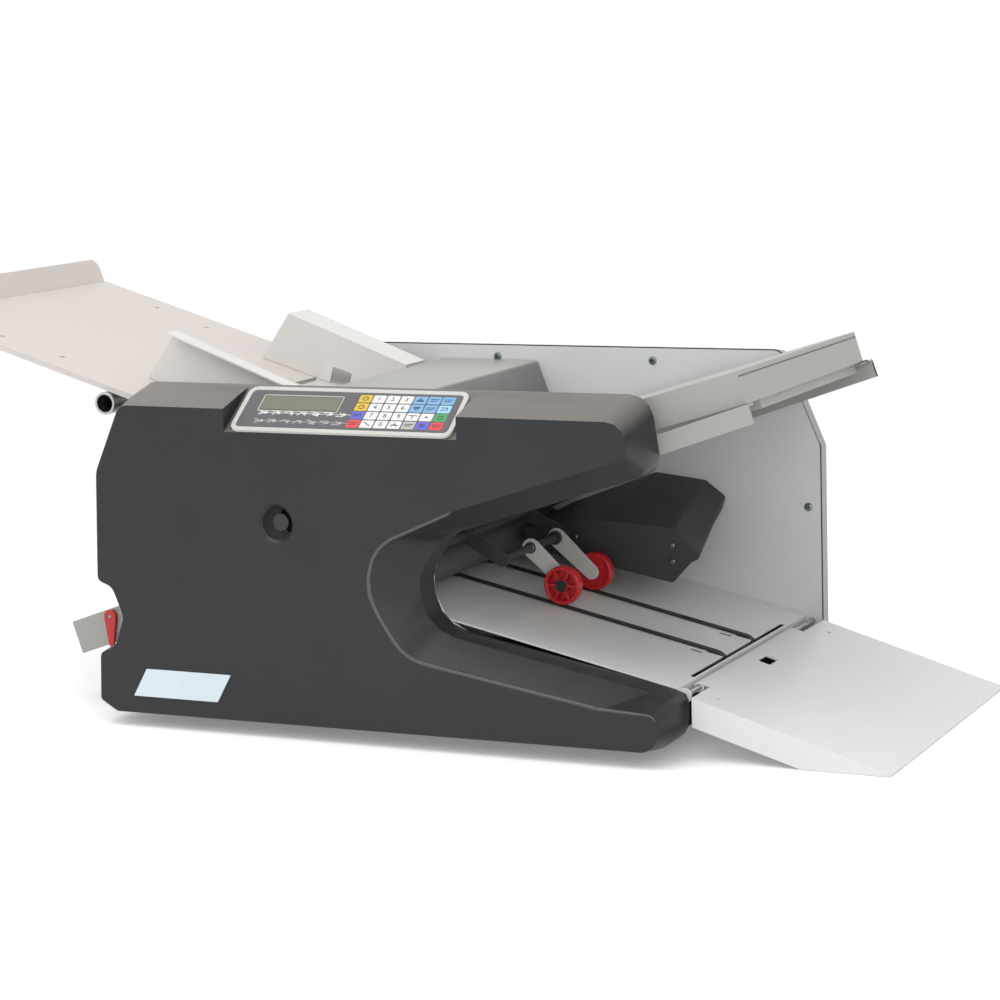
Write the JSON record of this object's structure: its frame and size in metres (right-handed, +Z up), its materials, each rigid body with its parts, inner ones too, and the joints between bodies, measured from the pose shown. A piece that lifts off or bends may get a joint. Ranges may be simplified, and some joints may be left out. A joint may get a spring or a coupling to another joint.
{
  "type": "paper folding machine",
  "caption": "Desk-top buckle-type paper folding machine with sloping feed table, side guides, keypad, fold plates, belt-driven exit bed with red stacker wheels and exit tray.",
  "frame": {"origin": "on the desk under the middle of the outline", "axes": "+X from the feed table to the exit tray, +Y from the keypad side to the far side, +Z up"},
  "size_m": [1.116, 0.4768, 0.4511],
  "materials": {
    "arm_carrier": "ground",
    "base_pan": "satin enamel",
    "belt_drive_roller": "ground",
    "belt_idler": "ground",
    "control_board": "circuit board",
    "conveyor_belt": "matt",
    "cover_hinge_rod": "ground",
    "display_window": "clear display window",
    "drive_belt": "matt",
    "drive_housing": "satin black",
    "exit_bed": "satin enamel",
    "exit_tray": "satin enamel",
    "far_arm": "moulded",
    "far_cover": "textured moulded plastic",
    "far_frame": "satin enamel",
    "far_side_guide": "satin enamel",
    "far_stacker_belt": "matt",
    "far_stacker_wheel": "moulded",
    "feed_roller": "matt",
    "feed_table": "satin enamel",
    "fold_roller_a": "matt",
    "fold_roller_b": "matt",
    "fold_roller_c": "matt",
    "fold_roller_d": "matt",
    "foot_far_left": "matt",
    "foot_far_right": "matt",
    "foot_near_left": "matt",
    "foot_near_right": "matt",
    "geared_feed_shaft": "ground",
    "geared_shaft_a": "ground",
    "geared_shaft_b": "ground",
    "geared_shaft_c": "ground",
    "geared_shaft_d": "ground",
    "jackshaft": "ground",
    "keypad_bezel": "satin",
    "keypad_overlay": "printed membrane",
    "lower_fold_plate": "satin enamel",
    "lower_fold_stop": "ground",
    "motor": "plain",
    "motor_bracket": "satin enamel",
    "motor_pulley": "ground",
    "name_plate": "bare label plate",
    "near_arm": "moulded",
    "near_cover": "textured moulded plastic",
    "near_frame": "satin enamel",
    "near_side_guide": "satin enamel",
    "near_stacker_belt": "matt",
    "near_stacker_wheel": "moulded",
    "power_inlet": "moulded",
    "power_rocker": "moulded",
    "power_supply": "plain",
    "red_latch": "moulded",
    "retard_carrier": "ground",
    "roller_belt": "matt",
    "table_extension": "satin enamel",
    "table_tube": "ground",
    "top_cover": "textured moulded plastic",
    "tray_hinge_rod": "ground",
    "upper_fold_plate": "satin enamel",
    "upper_fold_stop": "ground"
  },
  "bodies": {
    "chassis": {"arm_carrier": "arm_carrier", "base_pan": "base_pan", "control_board": "control_board", "conveyor_belt": "conveyor_belt", "cover_hinge_rod": "cover_hinge_rod", "display_window": "display_window", "drive_belt": "drive_belt", "drive_housing": "drive_housing", "exit_bed": "exit_bed", "far_cover": "far_cover", "far_frame": "far_frame", "far_stacker_belt": "far_stacker_belt", "feed_table": "feed_table", "foot_far_left": "foot_far_left", "foot_far_right": "foot_far_right", "foot_near_left": "foot_near_left", "foot_near_right": "foot_near_right", "keypad_bezel": "keypad_bezel", "keypad_overlay": "keypad_overlay", "motor": "motor", "motor_bracket": "motor_bracket", "name_plate": "name_plate", "near_cover": "near_cover", "near_frame": "near_frame", "near_stacker_belt": "near_stacker_belt", "power_inlet": "power_inlet", "power_supply": "power_supply", "retard_carrier": "retard_carrier", "roller_belt": "roller_belt", "table_tube": "table_tube", "tray_hinge_rod": "tray_hinge_rod"},
    "roller_a": {"fold_roller_a": "fold_roller_a", "geared_shaft_a": "geared_shaft_a"},
    "roller_b": {"fold_roller_b": "fold_roller_b", "geared_shaft_b": "geared_shaft_b"},
    "roller_c": {"fold_roller_c": "fold_roller_c", "geared_shaft_c": "geared_shaft_c"},
    "roller_d": {"fold_roller_d": "fold_roller_d", "geared_shaft_d": "geared_shaft_d"},
    "feed_unit": {"feed_roller": "feed_roller", "geared_feed_shaft": "geared_feed_shaft"},
    "jackshaft_unit": {"jackshaft": "jackshaft"},
    "motor_pulley_unit": {"motor_pulley": "motor_pulley"},
    "belt_drive_unit": {"belt_drive_roller": "belt_drive_roller"},
    "belt_idler_unit": {"belt_idler": "belt_idler"},
    "near_arm_unit": {"near_arm": "near_arm"},
    "far_arm_unit": {"far_arm": "far_arm"},
    "near_wheel_unit": {"near_stacker_wheel": "near_stacker_wheel"},
    "far_wheel_unit": {"far_stacker_wheel": "far_stacker_wheel"},
    "near_guide_unit": {"near_side_guide": "near_side_guide"},
    "far_guide_unit": {"far_side_guide": "far_side_guide"},
    "extension_unit": {"table_extension": "table_extension"},
    "upper_plate_unit": {"upper_fold_plate": "upper_fold_plate"},
    "upper_stop_unit": {"upper_fold_stop": "upper_fold_stop"},
    "lower_plate_unit": {"lower_fold_plate": "lower_fold_plate"},
    "lower_stop_unit": {"lower_fold_stop": "lower_fold_stop"},
    "latch_unit": {"red_latch": "red_latch"},
    "tray_unit": {"exit_tray": "exit_tray"},
    "top_cover_unit": {"top_cover": "top_cover"},
    "rocker_unit": {"power_rocker": "power_rocker"}
  },
  "joints": [
    {"name": "fold_roller_a_spin", "type": "hinge", "parent": "chassis", "child": "roller_a", "pos_m": [0.03275, 0.01718, 0.263], "axis": [0, 1, 0], "continuous": true},
    {"name": "fold_roller_b_spin", "type": "hinge", "parent": "chassis", "child": "roller_b", "pos_m": [0.03275, 0.01718, 0.228], "axis": [0, 1, 0], "continuous": true},
    {"name": "fold_roller_c_spin", "type": "hinge", "parent": "chassis", "child": "roller_c", "pos_m": [0.03882, 0.01718, 0.19353], "axis": [0, 1, 0], "continuous": true},
    {"name": "fold_roller_d_spin", "type": "hinge", "parent": "chassis", "child": "roller_d", "pos_m": [0.03155, 0.01718, 0.1593], "axis": [0, 1, 0], "continuous": true},
    {"name": "feed_roller_spin", "type": "hinge", "parent": "chassis", "child": "feed_unit", "pos_m": [-0.06875, 0.01718, 0.2585], "axis": [0, 1, 0], "continuous": true},
    {"name": "jackshaft_spin", "type": "hinge", "parent": "chassis", "child": "jackshaft_unit", "pos_m": [-0.06875, 0.01718, 0.2235], "axis": [0, 1, 0], "continuous": true},
    {"name": "motor_pulley_spin", "type": "hinge", "parent": "chassis", "child": "motor_pulley_unit", "pos_m": [-0.18725, 0.01718, 0.2285], "axis": [0, 1, 0], "continuous": true},
    {"name": "belt_drive_spin", "type": "hinge", "parent": "chassis", "child": "belt_drive_unit", "pos_m": [0.01848, 0.01718, 0.12899], "axis": [0, 1, 0], "continuous": true},
    {"name": "belt_idler_spin", "type": "hinge", "parent": "chassis", "child": "belt_idler_unit", "pos_m": [0.31916, 0.01718, 0.06217], "axis": [0, 1, 0], "continuous": true},
    {"name": "near_arm_lift", "type": "hinge", "parent": "chassis", "child": "near_arm_unit", "pos_m": [0.11075, -0.02305, 0.169], "axis": [0, 1, 0], "range_deg": [-35, 0]},
    {"name": "near_wheel_spin", "type": "hinge", "parent": "near_arm_unit", "child": "near_wheel_unit", "pos_m": [0.15075, -0.02305, 0.13272], "axis": [0, 1, 0], "continuous": true},
    {"name": "far_arm_lift", "type": "hinge", "parent": "chassis", "child": "far_arm_unit", "pos_m": [0.11075, 0.06004, 0.169], "axis": [0, 1, 0], "range_deg": [-35, 0]},
    {"name": "far_wheel_spin", "type": "hinge", "parent": "far_arm_unit", "child": "far_wheel_unit", "pos_m": [0.15075, 0.06004, 0.13272], "axis": [0, 1, 0], "continuous": true},
    {"name": "near_guide_slide", "type": "slide", "parent": "chassis", "child": "near_guide_unit", "axis": [0, 1, 0], "range_m": [-0.03, 0.045]},
    {"name": "far_guide_slide", "type": "slide", "parent": "chassis", "child": "far_guide_unit", "axis": [0, 1, 0], "range_m": [-0.045, 0.03]},
    {"name": "table_extension_slide", "type": "slide", "parent": "chassis", "child": "extension_unit", "axis": [-0.9559, 0, 0.2935], "range_m": [0, 0.15]},
    {"name": "upper_plate_slide", "type": "slide", "parent": "chassis", "child": "upper_plate_unit", "axis": [0.9581, 0, 0.2865], "range_m": [0, 0.15]},
    {"name": "upper_stop_slide", "type": "slide", "parent": "upper_plate_unit", "child": "upper_stop_unit", "axis": [0.9581, 0, 0.2865], "range_m": [-0.15, 0.13]},
    {"name": "lower_plate_slide", "type": "slide", "parent": "chassis", "child": "lower_plate_unit", "axis": [-0.9466, 0, -0.3223], "range_m": [0, 0.14]},
    {"name": "lower_stop_slide", "type": "slide", "parent": "lower_plate_unit", "child": "lower_stop_unit", "axis": [-0.9466, 0, -0.3223], "range_m": [-0.14, 0.18]},
    {"name": "red_latch_turn", "type": "hinge", "parent": "lower_plate_unit", "child": "latch_unit", "pos_m": [-0.32064, -0.162, 0.09927], "axis": [0, 1, 0], "range_deg": [0, 80]},
    {"name": "exit_tray_fold", "type": "hinge", "parent": "chassis", "child": "tray_unit", "pos_m": [0.34425, 0.01718, 0.061], "axis": [0, 1, 0], "range_deg": [-75, 0]},
    {"name": "top_cover_tip", "type": "hinge", "parent": "chassis", "child": "top_cover_unit", "pos_m": [0.01375, 0.01718, 0.3145], "axis": [0, 1, 0], "range_deg": [0, 70]},
    {"name": "power_rocker_press", "type": "hinge", "parent": "chassis", "child": "rocker_unit", "pos_m": [-0.17425, 0.23448, 0.0735], "axis": [1, 0, 0], "range_deg": [-18, 0]}
  ],
  "couplings": [
    {"joint": "fold_roller_b_spin", "follows": "fold_roller_a_spin", "ratio": -1},
    {"joint": "fold_roller_c_spin", "follows": "fold_roller_a_spin", "ratio": 1},
    {"joint": "fold_roller_d_spin", "follows": "fold_roller_a_spin", "ratio": -1},
    {"joint": "feed_roller_spin", "follows": "fold_roller_a_spin", "ratio": -1},
    {"joint": "jackshaft_spin", "follows": "fold_roller_a_spin", "ratio": 1},
    {"joint": "motor_pulley_spin", "follows": "fold_roller_a_spin", "ratio": 2},
    {"joint": "belt_drive_spin", "follows": "fold_roller_a_spin", "ratio": -1.5556},
    {"joint": "belt_idler_spin", "follows": "fold_roller_a_spin", "ratio": -1.5556},
    {"joint": "near_wheel_spin", "follows": "fold_roller_a_spin", "ratio": 0.83469},
    {"joint": "far_wheel_spin", "follows": "fold_roller_a_spin", "ratio": 0.83469}
  ]
}
